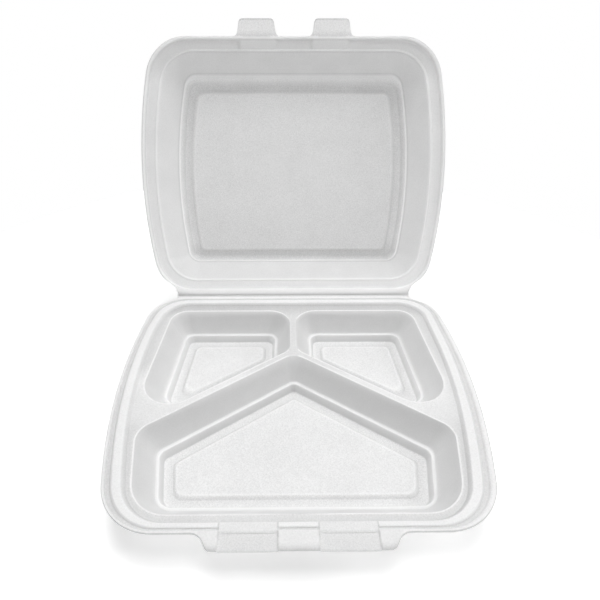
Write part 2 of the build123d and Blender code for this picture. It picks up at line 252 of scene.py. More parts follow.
class LidSizes(bpy.types.PropertyGroup):
    """Sizes of the lid, seen square to its rim"""

    sheet: length("Sheet", 1.75, "Foam thickness of the lid")
    half_width: length("Half width", 119.3, "Half the lid's width at its widest place")
    widest: length("Widest place", 87, "From the fold to the widest place")
    depth: length("Depth", 196.6, "From the fold to the front edge")
    side_radius: length("Side radius", 380, "Radius of the long sides")
    front_radius: length("Front corner radius", 32, "Radius of the rim's front corners")
    rear: length("Rear edge", 4, "From the fold to the rear edge of the rim")
    rear_radius: length("Rear corner radius", 29, "Radius of the rim's rear corners")
    front_share: share("Front share", 0.87, "How much narrower the rim is in front")
    rear_share: share("Rear share", 0.87, "How much narrower the rim is at the back")
    corner_share: share("Corner share", 0.5, "How fast the corner radius falls inwards")
    dish_front_radius: length("Dish front radius", 23, "Radius the dish's front corners start from")
    dish_rear_radius: length("Dish rear radius", 22, "Radius the dish's rear corners start from")
    fold_half: length("Fold half length", 98.5, "Half the length of the fold line")
    fold_fillet: length("Fold notch radius", 4, "Radius of the notch at each end of the fold")
    bead: length("Bead", 1.8, "Width of the bead along the edge")
    edge_radius: length("Edge radius", 0.8, "Radius of the trimmed edge")
    lean: slant("Lean", radians(20), "How far the open lid leans back")
    latch_half: length("Ramp spacing", 26.5, "From the centre line to the middle of a ramp")
    tab_half: length("Tab spacing", 27.3, "From the centre line to the middle of a tab")
    tab_length: length("Tab length", 11.4, "How far the tabs stand out")
    tab_root_half: length("Tab root", 14.4, "Half the width of a tab at its root")
    tab_tip_half: length("Tab tip", 12.2, "Half the width of a tab at its tip")
    tab_root_fillet: length("Tab root radius", 4.0, "Radius where a tab leaves the rim")
    tab_tip_fillet: length("Tab tip radius", 6.0, "Radius of a tab's corners")
    ramp_half: length("Ramp half width", 14.4, "Half the width of the ramp behind a tab")


class FoldSizes(bpy.types.PropertyGroup):
    """Sizes of the pressed fold"""

    gap: length("Gap", 0.25, "From the fold's axis to the edge of tray and lid")
    web: length("Web", 0.9, "Foam left where the fold is pressed")
    web_length: length("Web length", 2.2, "How wide the pressed web is on each side")
    cover: length("Cover", 1.6, "How far the crease runs under each web")


class FoamLook(bpy.types.PropertyGroup):
    """Colour and surface of the foam"""

    colour: paint("Foam colour", (0.86, 0.86, 0.86), "Colour of the bare foam")
    cell: length("Cell size", 0.9, "Width of a flattened foam cell")
    roughness: share("Roughness", 0.36, "Roughness of the skin")


class StudioLook(bpy.types.PropertyGroup):
    """Light, floor and camera"""

    ambient: bright("Ambient", 0.03, "Strength of the even light")
    level: bright("Light level", 1, "Strength of all the lamps")
    lift: bright("Floor lift", 1.4, "How light the floor is seen")
    glow: bright("Floor glow", 0.2, "Light added to the floor's look")
    floor_colour: paint("Floor colour", (0.9, 0.9, 0.9), "Colour of the floor")
    focal: FloatProperty(
        name="Focal length", default=26.958, description="Camera lens in millimetres", min=1
    )
    distance: length("Distance", 382.73, "From the camera to the fold, along the view")
    pitch: slant("Pitch", 0.64647, "How far the camera looks down")
    yaw: slant("Yaw", 0.01053, "How far the box is turned in the view")
    roll: slant("Roll", 0.00228, "Tilt of the picture")
    offset: FloatVectorProperty(
        name="Offset", default=(0.004874, 0.000103), size=2, unit="LENGTH",
        description="Where the fold lies in the view, from the middle",
    )
    shift: FloatVectorProperty(
        name="Shift", default=(0.02044, -0.0074), size=2,
        description="How far the picture is cropped off centre",
    )


def mix(near, far, part):
    """The value that lies a given part of the way from near to far."""
    return near + (far - near) * part


def smooth_step(low, high, value):
    """0 below low, 1 above high and a smooth rise between them."""
    part = min(max((value - low) / (high - low), 0), 1)
    return part * part * (3 - 2 * part)


def fade(span, place):
    """A smooth rise from 0 to 1 over a span in millimetres, at a place in metres."""
    return smooth_step(span[0] * MM, span[1] * MM, place)


def along(table, inset):
    """Values from a table of (inset, values), in straight lines between its rows."""
    for (near, low), (far, high) in zip(table, table[1:]):
        if inset <= far:
            part = max((inset - near) / (far - near), 0)
            return [mix(a, b, part) for a, b in zip(low, high)]
    return table[-1][1]


def painted_shade_at(table, inset):
    """The painted light and shade of the skin at an inset in metres."""
    rows = [(place * MM, (painted_shading,)) for place, painted_shading in table]
    return along(rows, max(inset, rows[0][0]))[0]


def rounded(points, radii, steps):
    """A path with its corners rounded, each by its own radius."""
    points = [Vector(point) for point in points]
    path = []
    for place, (corner, radius) in enumerate(zip(points, radii)):
        if radius == 0:
            path.append(corner)
            continue
        before = corner - points[place - 1]
        after = points[place + 1] - corner
        cut = radius * tan(before.angle(after) / 2)
        cut = min(cut, before.length * CUT_LIMIT_SHARE, after.length * CUT_LIMIT_SHARE)
        start = corner - before.normalized() * cut
        end = corner + after.normalized() * cut
        for step in range(steps + 1):
            part = step / steps
            path.append(start.lerp(corner, part).lerp(corner.lerp(end, part), part))
    return path


def evenly(path, count):
    """Points spread evenly along a path, with both its ends."""
    runs = [(b - a).length for a, b in zip(path, path[1:])]
    total = sum(runs)
    places = []
    for number in range(count):
        left = total * number / (count - 1)
        for start, end, run in zip(path, path[1:], runs):
            if left <= run or end is path[-1]:
                places.append(start.lerp(end, min(left / run, 1)))
                break
            left -= run
    return places


def spread(low, high, count):
    """Evenly spaced values, with both ends."""
    return [mix(low, high, number / (count - 1)) for number in range(count)]


def both_sides(middle, half):
    """The two ends of a width about its middle."""
    return middle - half, middle + half


def half_loop(sizes, inset, front_radius, rear_radius, setback, front_columns):
    """Half of one rim loop, from the middle of the back round to the middle of the front."""
    widest = sizes.widest
    front = sizes.depth - sizes.front_share * inset - setback
    rear = sizes.rear + sizes.rear_share * inset
    side_x = sizes.half_width - sizes.side_radius
    side_r = sizes.side_radius - inset
    front_y = front - front_radius
    rear_y = rear + rear_radius
    front_x = side_x + sqrt((side_r - front_radius) ** 2 - (front_y - widest) ** 2)
    rear_x = side_x + sqrt((side_r - rear_radius) ** 2 - (rear_y - widest) ** 2)
    front_turn = atan2(front_y - widest, front_x - side_x)
    rear_turn = atan2(rear_y - widest, rear_x - side_x)
    points = [Vector((x, rear)) for x in spread(0, rear_x, REAR_COLUMNS + 1)[:-1]]
    for centre_x, centre_y, radius, start, end, count in (
        (rear_x, rear_y, rear_radius, -pi / 2, rear_turn, REAR_ARC_COLUMNS),
        (side_x, widest, side_r, rear_turn, front_turn, SIDE_COLUMNS),
        (front_x, front_y, front_radius, front_turn, pi / 2, FRONT_ARC_COLUMNS),
    ):
        for angle in spread(start, end, count + 1)[:-1]:
            points.append(Vector((centre_x + radius * cos(angle), centre_y + radius * sin(angle))))
    points += [Vector((x, front)) for x in (front_x, *front_columns)]
    return points


def both_halves(half):
    """A whole loop from its right half."""
    return half + [Vector((-point.x, *point[1:])) for point in reversed(half[1:-1])]


def trimmed_outline(edge, sizes, fold_gap, notch_columns):
    """The rim's edge, with its rear carried to the fold line and round the notch at the fold's end."""
    first = REAR_COLUMNS - NOTCH_LEAD
    last = REAR_COLUMNS + notch_columns
    corner = next(point for point in edge if point.x > sizes.fold_half)
    path = [
        (edge[first].x, fold_gap),
        (sizes.fold_half, fold_gap),
        (sizes.fold_half, corner.y - (corner.x - sizes.fold_half) / 3),
        edge[last],
    ]
    notch = rounded(path, (0, FOLD_END_RADIUS, sizes.fold_fillet, 0), CORNER_STEPS * 3)
    fold_line = [Vector((point.x, fold_gap)) for point in edge[:first]]
    return fold_line + evenly(notch, last - first + 1) + edge[last + 1 :]


def section_path(rows):
    """A section's rounded path, from rows of (inset, level, corner radius in millimetres)."""
    points = [(inset, level) for inset, level, radius in rows]
    return rounded(points, [radius * MM for inset, level, radius in rows], CORNER_STEPS + 1)


def edge_drop(distance, radius):
    """How far a rounded edge falls, at a distance from its end."""
    if distance >= radius:
        return 0
    return radius - sqrt(max(radius**2 - (radius - distance) ** 2, 0))


def edge_loops(start, outline, level_at, radius, fold_gap):
    """Half loops from the section's end out to the trimmed edge, and how far whole loops fall there."""
    loops, falls = [], []
    for part in EDGE_SHARES:
        loop, row = [], []
        for point, end in zip(start, outline):
            place = point.lerp(end, part)
            row.append(0 if end.y < fold_gap * 2 else edge_drop((end - place).length, radius))
            loop.append(Vector((*place, level_at(place, point.x) - row[-1])))
        loops.append(loop)
        falls.append(row + row[-2:0:-1])
    return loops, falls


def ring_edges(bm, ring):
    """The edges of a closed ring of vertices."""
    return [bm.edges.get((ring[place - 1], ring[place])) for place in range(len(ring))]


def loop_shell(bm, loops):
    """Extrudes a ring of edges from loop to loop, and returns the vertices of every ring."""
    ring = bmesh.ops.create_circle(bm, segments=len(loops[0]), radius=1)["verts"]
    rings = []
    for number, loop in enumerate(loops):
        if number:
            made = bmesh.ops.extrude_edge_only(bm, edges=ring_edges(bm, ring))["geom"]
            fresh = {part for part in made if isinstance(part, bmesh.types.BMVert)}
            ring = [
                next(edge.other_vert(vert) for edge in vert.link_edges if edge.other_vert(vert) in fresh)
                for vert in ring
            ]
        for vert, place in zip(ring, loop):
            vert.co = place
        rings.append(ring)
    return rings


def new_shell(loops):
    """A mesh with a shell through half loops, its rings, and its layers for grain and painted light and
    shade.
    """
    bm = bmesh.new()
    grain = bm.verts.layers.float.new("grain")
    painted_shading = bm.verts.layers.float.new("painted_shading")
    return bm, loop_shell(bm, [both_halves(loop) for loop in loops]), grain, painted_shading


def cut_slit(bm, inner, outer, wanted):
    """Opens a slit between two rings at the wanted columns, and returns its border's edges."""
    picked = []
    for place in range(len(inner)):
        following = (place + 1) % len(inner)
        if wanted(place, following):
            corners = (inner[place], inner[following], outer[following], outer[place])
            picked.append(bm.faces.get(corners))
    uses = {}
    for face in picked:
        for edge in face.edges:
            uses[edge] = uses.get(edge, 0) + 1
    border = [edge for edge, times in uses.items() if times == 1]
    bmesh.ops.delete(bm, geom=picked, context="FACES_KEEP_BOUNDARY")
    return border


def bay_loop(corners, radii, inset, level):
    """One loop of a bay, a polygon with every side moved inwards and every corner rounded."""
    count = len(corners)

    def corner_at(points, place):
        before, here, after = (Vector(points[(place + step) % count]) for step in (-1, 0, 1))
        return here, (here - before).normalized(), (after - here).normalized()

    moved = []
    for place in range(count):
        here, into, out = corner_at(corners, place)
        moved.append(here + (out - into) * (inset / (into.x * out.y - into.y * out.x)))
    ends = []
    for place, radius in enumerate(radii):
        here, into, out = corner_at(moved, place)
        turn = into.angle(out)
        centre = here + (out - into).normalized() * (radius / cos(turn / 2))
        start = here - into * (radius * tan(turn / 2)) - centre
        swings = [turn * step / BAY_CORNER_STEPS for step in range(BAY_CORNER_STEPS + 1)]
        ends.append([centre + Matrix.Rotation(swing, 2) @ start for swing in swings])
    loop = []
    for place, arc in enumerate(ends):
        loop += arc
        far = ends[(place + 1) % count][0]
        loop += [arc[-1].lerp(far, step / BAY_SIDE_STEPS) for step in range(1, BAY_SIDE_STEPS)]
    return [Vector((point.x, point.y, level)) for point in loop]


def sheet_drops(bm, sizes, fold, rings, falls):
    """How far the underside lies below each vertex, less along the fold and the rounded edge."""
    drop_of = dict.fromkeys(bm.verts, sizes.sheet)
    for ring, row in zip(rings[-len(falls) :], falls):
        for vert, fall in zip(ring, row):
            drop_of[vert] = sizes.sheet - 2 * fall
    for ring in rings:
        for vert in ring:
            if vert.co.y < fold.web_length and abs(vert.co.x) < sizes.fold_half + MM:
                drop_of[vert] = fold.web
    return drop_of


def add_underside(bm, drop_of, rims):
    """Copies the upper skin downwards and joins the two skins along their rims."""
    copied = bmesh.ops.duplicate(bm, geom=bm.verts[:] + bm.edges[:] + bm.faces[:])
    under = copied["vert_map"]
    lower_faces = [part for part in copied["geom"] if isinstance(part, bmesh.types.BMFace)]
    bmesh.ops.reverse_faces(bm, faces=lower_faces)
    painted_shading = bm.verts.layers.float["painted_shading"]
    for vert, drop in drop_of.items():
        under[vert].co.z -= drop
        # The underside is left without painted light and shade
        under[vert][painted_shading] = 0
    for rim in rims:
        lower = [bm.edges.get((under[edge.verts[0]], under[edge.verts[1]])) for edge in rim]
        bmesh.ops.bridge_loops(bm, edges=rim + lower)


def mesh_from(bm, name):
    """A mesh with the shape of the shell, which is then given up."""
    mesh = bpy.data.meshes.new(name)
    bm.to_mesh(mesh)
    bm.free()
    return mesh


def new_object(name, data):
    """An object in the scene."""
    made = bpy.data.objects.new(name, data)
    bpy.context.scene.collection.objects.link(made)
    return made


def finished_piece(bm, name, turn):
    """Turns the shell about the fold and makes it a smooth-shaded object in its place."""
    bmesh.ops.transform(bm, matrix=Matrix.Translation(HINGE) @ turn, verts=bm.verts)
    bmesh.ops.recalc_face_normals(bm, faces=bm.faces)
    mesh = mesh_from(bm, name)
    mesh.shade_smooth()
    mesh.set_sharp_from_angle(angle=SMOOTH_ANGLE)
    mesh.materials.append(foam_material(bpy.context.scene.mealbox_foam))
    piece = new_object(name, mesh)
    weighted = piece.modifiers.new("even shading", "WEIGHTED_NORMAL")
    weighted.keep_sharp = True
    return piece


# Materials


def cell_group():
    """Foam cells: a fine grain that rises and falls, a faint mottling, and the painted light and shade
    carried in from the mesh.
    """
    group = bpy.data.node_groups.get("foam cells")
    if group:
        return group
    group = bpy.data.node_groups.new("foam cells", "ShaderNodeTree")
    for label in ("Place", "Density", "Grain", "Skin"):
        kind = "NodeSocketVector" if label == "Place" else "NodeSocketFloat"
        group.interface.new_socket(label, in_out="INPUT", socket_type=kind)
    for label in ("Mottle and painted shade", "Height", "Gloss"):
        group.interface.new_socket(label, in_out="OUTPUT", socket_type="NodeSocketFloat")
    nodes, links = group.nodes, group.links
    source = nodes.new("NodeGroupInput")
    sink = nodes.new("NodeGroupOutput")

    def maths(operation, first, second):
        node = nodes.new("ShaderNodeMath")
        node.operation = operation
        for socket, value in zip(node.inputs, (first, second)):
            if isinstance(value, bpy.types.NodeSocket):
                links.new(value, socket)
            else:
                socket.default_value = value
        return node.outputs["Value"]

    def scaled(kind, factor, **values):
        node = nodes.new(kind)
        links.new(source.outputs["Place"], node.inputs["Vector"])
        links.new(maths("MULTIPLY", source.outputs["Density"], factor), node.inputs["Scale"])
        for label, value in values.items():
            node.inputs[label].default_value = value
        return node

    cells = scaled("ShaderNodeTexVoronoi", 1.0, Randomness=1.0)
    cells.feature = "SMOOTH_F1"
    cells.inputs["Smoothness"].default_value = 0.6
    specks = scaled("ShaderNodeTexNoise", SPECK_DENSITY, Detail=2.0, Roughness=0.7)
    clouds = scaled("ShaderNodeTexNoise", CLOUD_DENSITY, Detail=4.0, Roughness=0.6)
    cell_relief = maths("MULTIPLY", cells.outputs["Distance"], CELL_RELIEF)
    relief = maths("ADD", cell_relief, specks.outputs["Fac"])
    strength = maths("ADD", maths("MULTIPLY", source.outputs["Grain"], 1 - LEAST_GRAIN), LEAST_GRAIN)
    links.new(maths("MULTIPLY", relief, strength), sink.inputs["Height"])
    speck = maths("SUBTRACT", specks.outputs["Fac"], NOISE_MIDDLE)
    speck_tone = maths("MULTIPLY", speck, maths("MULTIPLY", strength, SPECK_TONE))
    cloud = maths("SUBTRACT", clouds.outputs["Fac"], NOISE_MIDDLE)
    cloud_tone = maths("MULTIPLY", cloud, CLOUD_TONE)
    # Painted light and shade from the mesh, added to the random specks and clouds
    painted_shade_part = maths("MULTIPLY", source.outputs["Skin"], PAINTED_SHADE_STRENGTH)
    painted_shading = maths("ADD", painted_shade_part, maths("ADD", speck_tone, cloud_tone))
    links.new(maths("ADD", 1.0, painted_shading), sink.inputs["Mottle and painted shade"])
    links.new(maths("MULTIPLY", source.outputs["Grain"], GRAIN_GLOSS), sink.inputs["Gloss"])
    return group


def foam_material(look):
    """White matte foam with a fine cell grain, rougher where it lies flat than where it is drawn, with
    painted light and shade from the mesh in its colour.
    """
    name = "moulded foam"
    material = bpy.data.materials.get(name)
    if material:
        return material
    material = bpy.data.materials.new(name)
    material.use_nodes = True
    nodes, links = material.node_tree.nodes, material.node_tree.links
    shader = nodes["Principled BSDF"]
    place = nodes.new("ShaderNodeTexCoord")
    cells = nodes.new("ShaderNodeGroup")
    cells.node_tree = cell_group()
    cells.inputs["Density"].default_value = 1 / look.cell
    links.new(place.outputs["Object"], cells.inputs["Place"])
    # The painted light and shade reaches the cells from the mesh, with the grain
    for attribute, label in (("grain", "Grain"), ("painted_shading", "Skin")):
        carried = nodes.new("ShaderNodeAttribute")
        carried.attribute_name = attribute
        links.new(carried.outputs["Fac"], cells.inputs[label])
    tint = nodes.new("ShaderNodeMix")
    tint.data_type = "RGBA"
    tint.blend_type = "MULTIPLY"
    tint.inputs["Factor"].default_value = 1
    colour_in, mottle_and_shade_in = (
        next(socket for socket in tint.inputs if socket.name == letter and socket.type == "RGBA")
        for letter in "AB"
    )
    colour_in.default_value = (*look.colour, 1)
    links.new(cells.outputs["Mottle and painted shade"], mottle_and_shade_in)
    tinted = next(socket for socket in tint.outputs if socket.type == "RGBA")
    links.new(tinted, shader.inputs["Base Color"])
    rough = nodes.new("ShaderNodeMath")
    rough.inputs[0].default_value = look.roughness
    links.new(cells.outputs["Gloss"], rough.inputs[1])
    links.new(rough.outputs["Value"], shader.inputs["Roughness"])
    bump = nodes.new("ShaderNodeBump")
    bump.inputs["Strength"].default_value = BUMP_STRENGTH
    bump.inputs["Distance"].default_value = BUMP_DEPTH
    links.new(cells.outputs["Height"], bump.inputs["Height"])
    links.new(bump.outputs["Normal"], shader.inputs["Normal"])
    return material


# Pieces


class MEALBOX_OT_tray(bpy.types.Operator):
    """Build the bayed tray with its ridged rim, pads, slits and front lip"""

    bl_idname = "mealbox.tray"
    bl_label = "Build tray"

    def execute(self, context):
        sizes, fold = context.scene.mealbox_tray, context.scene.mealbox_fold
        slot_in, slot_out = both_sides(sizes.latch_half, sizes.slot_half)
        slit_in, slit_out = both_sides(sizes.latch_half, sizes.slit_half)
        soft = 0.9 * MM
        fan_end = slot_out + soft * 1.5
        columns = spread(FRONT_START, fan_end, FAN_COLUMNS)
        columns += [slot_out + soft * step for step in SLOT_STEPS]
        columns += spread(slit_out, slit_in, SLIT_COLUMNS)
        columns += [slot_in - soft * step for step in reversed(SLOT_STEPS)]
        columns += spread(slot_in - soft * 2, 0, MIDDLE_COLUMNS)

        def half(inset):
            return half_loop(
                sizes, inset, sizes.front_radius - sizes.corner_share * inset,
                sizes.rear_radius - sizes.corner_share * inset, 0, columns,
            )

        edge = half(0)
        fan_first = len(edge) - len(columns)
        lip_front = sizes.depth + sizes.lip_length
        lip_path = rounded(
            [
                (FRONT_START, sizes.depth), (sizes.lip_root_half, sizes.depth),
                (sizes.lip_front_half, lip_front), (fan_end, lip_front),
            ],
            (0, sizes.lip_root_fillet, sizes.lip_front_fillet, 0), CORNER_STEPS * 4,
        )
        outline = trimmed_outline(edge, sizes, fold.gap, TRAY_NOTCH_COLUMNS)[:fan_first]
        outline += evenly(lip_path, FAN_COLUMNS)
        outline += [Vector((point.x, lip_front)) for point in edge[len(outline) :]]

        # The rim's section, from the foot of the ridge out to the flat lip
        deck, ridge, groove = sizes.deck_level, sizes.ridge_level, -1.1 * MM
        section = section_path([
            (15.9 * MM, deck, 0), (14.4 * MM, deck, 0.8),
            (12.3 * MM, ridge, 1.3), (7.2 * MM, ridge, 1.3),
            (5.7 * MM, groove, 0.8), (3.3 * MM, groove, 0.8),
            (sizes.edge_lip, LIP_LEVEL, 0.8), (sizes.edge_lip - 0.4 * MM, LIP_LEVEL, 0),
        ])
        pad_edge = sizes.depth - sizes.pad_depth

        def pad_part(x):
            inner = smooth_step(slot_in - soft, slot_in + soft * 0.2, abs(x))
            return inner * (1 - smooth_step(slot_out - soft * 0.2, slot_out + soft, abs(x)))

        def pad_level(y):
            return mix(sizes.pad_rear, sizes.pad_front, (y - pad_edge) / sizes.pad_depth)

        def rim_level(point, inset, level):
            if inset < RIDGE_FOOT:
                flatter = mix(LIP_LEVEL, level, FRONT_RELIEF)
                level = mix(level, flatter, fade(FRONT_FLATTER, point.y - sizes.depth))
            if point.y > pad_edge - 2 * MM and point.x < FRONT_START:
                pad = pad_level(point.y) if point.y > pad_edge else min(level, sizes.pad_rear)
                level = mix(level, pad, pad_part(point.x))
            return level

        def lip_level(place, x):
            if place.x >= FRONT_START or place.y <= sizes.depth - 3 * MM:
                return LIP_LEVEL
            on_panel = place.y > sizes.depth - 0.05 * MM
            pressed = sizes.panel_level if on_panel else pad_level(place.y)
            return mix(LIP_LEVEL, pressed, pad_part(x))

        loops = [
            [Vector((*point, rim_level(point, inset, level))) for point in half(inset)]
            for inset, level in section
        ]
        outer_loops, falls = edge_loops(
            half(section[-1][0]), outline, lip_level, sizes.edge_radius, fold.gap
        )
        bm, rings, grain, painted_shading = new_shell(loops + outer_loops)

        # Bays
        def deck_half(distance):
            return sizes.half_width - sizes.side_radius + sqrt(
                (sizes.side_radius - sizes.deck_inset) ** 2 - (distance - sizes.widest) ** 2
            )

        bay_front = sizes.depth - sizes.bay_inset
        shoulder = bay_front - sizes.large_side
        shoulder_half = deck_half(shoulder) - 1.7 * MM
        front_half = deck_half(bay_front) + 0.8 * MM
        slope = (shoulder - sizes.large_apex) / shoulder_half
        small_apex = sizes.large_apex - sizes.slant_divider * sqrt(1 + slope**2)
        bay_rear = sizes.rear + sizes.rear_share * sizes.deck_inset + 4.9 * MM
        rear_half = deck_half(bay_rear - 1.5 * MM) - 3.6 * MM
        tip_half = deck_half(shoulder) + 5.2 * MM
        wide = [
            (0, sizes.large_apex), (shoulder_half, shoulder), (front_half, bay_front),
            (-front_half, bay_front), (-shoulder_half, shoulder),
        ]
        right = [
            (sizes.divider, bay_rear), (rear_half, bay_rear),
            (tip_half, small_apex + slope * tip_half),
            (sizes.divider, small_apex + slope * sizes.divider),
        ]
        left = [(-x, y) for x, y in reversed(right)]
        left_radii = tuple(row[::-1] for row in SMALL_RADII)
        ledge = deck - 16 * MM
        extra = 2 * MM
        floor = ledge - 8 * MM + extra
        panel = floor + 1.6 * MM
        bay_section = section_path([
            (-1.0 * MM, deck, 0), (0, deck, 1.5),
            (1.6 * MM, mix(deck, ledge, 1.6 / 9.8), 0), (8.4 * MM, mix(deck, ledge, 8.4 / 9.8), 0),
            (9.8 * MM, ledge, 1.6), (12 * MM, ledge, 1.1),
            (13.9 * MM, floor, 1.2), (19.4 * MM, floor, 1.2),
            (21.4 * MM, panel, 1.3), (22.8 * MM, panel, 0),
        ])

        # Painted light across the deck's middle and painted shade at its rear, by the fold
        def deck_painted_shade(y):
            lighter = fade(DECK_LIGHTER, y) * (1 - fade(DECK_DARKER, y))
            return 0.8 * lighter - 0.8 * (1 - fade(DECK_REAR, y))

        # Painted light and shade in the bays: the section's own, darker on the divider's mouth and on the
        # rear walls, lighter on the front walls
        def bay_painted_shade(place, inset):
            shade = painted_shade_at(BAY_PAINTED_SHADE, inset)
            if inset < -0.8 * MM:
                return shade + deck_painted_shade(place.y)
            if inset < 0.3 * MM and abs(place.x) < sizes.divider + MM:
                return min(shade, -0.3)
            if MM < inset < 12 * MM:
                shade += 0.2 * fade(BAY_WALL_FRONT, place.y - bay_front)
                shade -= 0.4 * (1 - fade(BAY_WALL_REAR, place.y - bay_rear))
            return shade

        deck_edges = ring_edges(bm, rings[0])
        thicker = {}
        for corners, (mouth_radii, floor_radii) in (
            (wide, WIDE_RADII), (right, SMALL_RADII), (left, left_radii),
        ):
            bay_loops = []
            for inset, level in bay_section:
                part = min(max(inset, 0) / RADIUS_RUN, 1)
                reach = max(-inset, 0)
                radii = [mix(a, b, part) * MM + reach for a, b in zip(mouth_radii, floor_radii)]
                bay_loops.append(bay_loop(corners, radii, inset, level))
            bay_rings = loop_shell(bm, bay_loops)
            deck_edges += ring_edges(bm, bay_rings[0])
            bmesh.ops.contextual_create(bm, geom=ring_edges(bm, bay_rings[-1]))
            # Grain, painted light and shade, and the floor's extra thickness for every bay vertex
            for ring, (inset, level) in zip(bay_rings, bay_section):
                for vert in ring:
                    vert[grain] = 1.0 if inset > 14 * MM else (0.6 if inset < 0 else 0.05)
                    vert[painted_shading] = bay_painted_shade(vert.co, inset)
                    thicker[vert] = extra * fade(BAY_FLOOR, inset)
        bmesh.ops.triangle_fill(bm, use_beauty=True, edges=deck_edges)

        # Painted light and shade on the rim: painted shade on the pads' sides and on the lip's panels, and
        # less painted light on the lip
        def rim_painted_shade(place, inset):
            x, y, pad = abs(place.x), place.y, pad_part(place.x)
            if y > pad_edge - MM and 0.05 < pad < 0.95 and inset > 2 * MM:
                return -1.0
            if y > pad_edge and pad > 0.5:
                return -0.4 if y > sizes.depth else 0.1
            shade = painted_shade_at(RIM_PAINTED_SHADE, inset) + (deck_painted_shade(y) if inset > 14 * MM else 0)
            on_lip = y > sizes.depth - MM and x < sizes.lip_root_half and inset < sizes.edge_lip
            return min(shade, 0.2) if on_lip else shade

        insets = [inset for inset, level in section]
        insets += [sizes.edge_lip * (1 - part) for part in EDGE_SHARES]
        # Grain and painted light and shade for every rim vertex
        for ring, inset in zip(rings, insets):
            for vert in ring:
                in_slot = vert.co.y > pad_edge and pad_part(vert.co.x) > 0.5
                vert[grain] = 0.7 if in_slot else 0.45
                vert[painted_shading] = rim_painted_shade(vert.co, inset)
                # The edge is trimmed a little off centre
                part = fade(TRIM_RIM, inset) * fade(TRIM_REAR, vert.co.y)
                if vert.co.y > sizes.depth - 4 * MM:
                    part = max(part, 1 - fade(TRIM_LIP, abs(vert.co.x)))
                vert.co.x += sizes.trim_shift * part
        for vert in thicker:
            vert.co.x += sizes.trim_shift

        # Slits between the pads and the lip's panels
        whole_edge = both_halves(edge)
        slits = []
        for side in (1, -1):

            def in_slit(place, following):
                near, far = whole_edge[place], whole_edge[following]
                middle = (near.x + far.x) / 2 * side
                return near.y > sizes.depth - MM and slit_in < middle < slit_out

            slits.append(cut_slit(bm, rings[len(section)], rings[len(section) + 1], in_slit))

        drop_of = sheet_drops(bm, sizes, fold, rings, falls)
        for vert, more in thicker.items():
            drop_of[vert] += more
        add_underside(bm, drop_of, [ring_edges(bm, rings[-1])] + slits)

        piece = finished_piece(bm, "tray_shell", Matrix.Rotation(pi, 4, "Z"))
        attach(piece, "base")
        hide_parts("base_tray")
        return {"FINISHED"}


